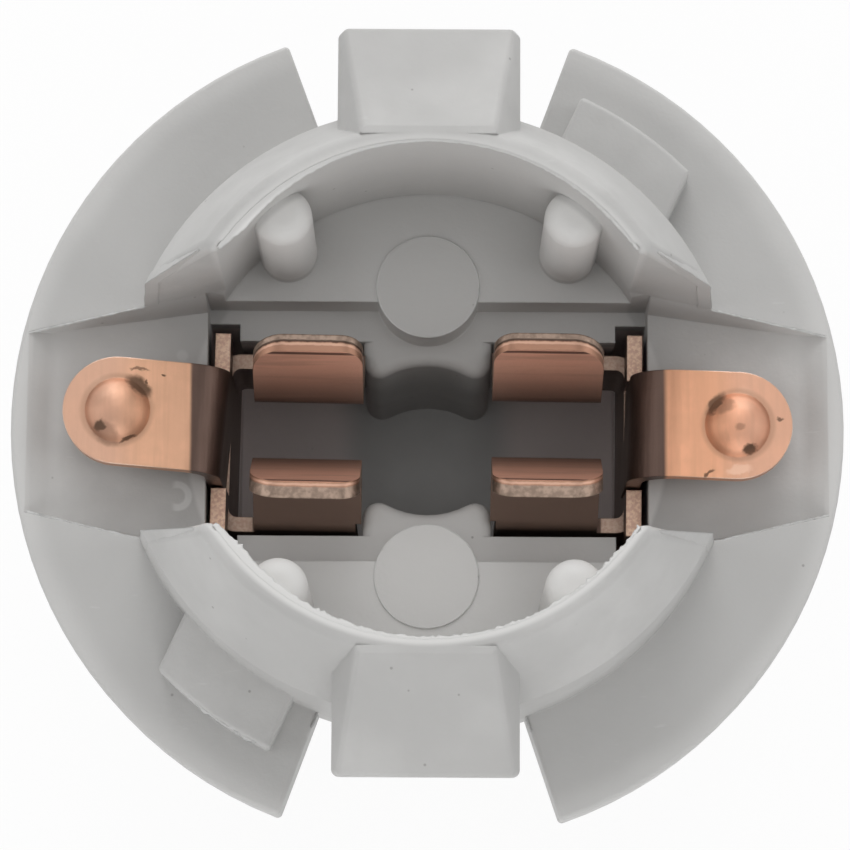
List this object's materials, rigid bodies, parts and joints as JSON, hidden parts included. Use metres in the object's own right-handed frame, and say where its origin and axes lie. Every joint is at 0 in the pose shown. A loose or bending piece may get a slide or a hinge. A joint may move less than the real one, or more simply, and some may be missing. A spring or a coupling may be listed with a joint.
{
  "type": "car bulb socket",
  "caption": "Twist-lock panel holder for a wedge-base bulb: moulded flange, split collar with lugs and rear grip, and two sprung sheet-metal contacts.",
  "frame": {"origin": "centre of the flat rear end of the grip, on the socket's axis", "axes": "+Z along the socket's axis from the rear end to the bulb; X through the two contacts; Y through the two locking lugs"},
  "size_m": [0.0206, 0.0193, 0.0149],
  "materials": {
    "moulding": "matte warm grey moulded plastic",
    "contact_metal": "rolled copper alloy sheet, lightly tarnished"
  },
  "bodies": {
    "root": {"socket_body": "moulding", "contact_left": "contact_metal", "contact_right": "contact_metal"}
  },
  "joints": []
}
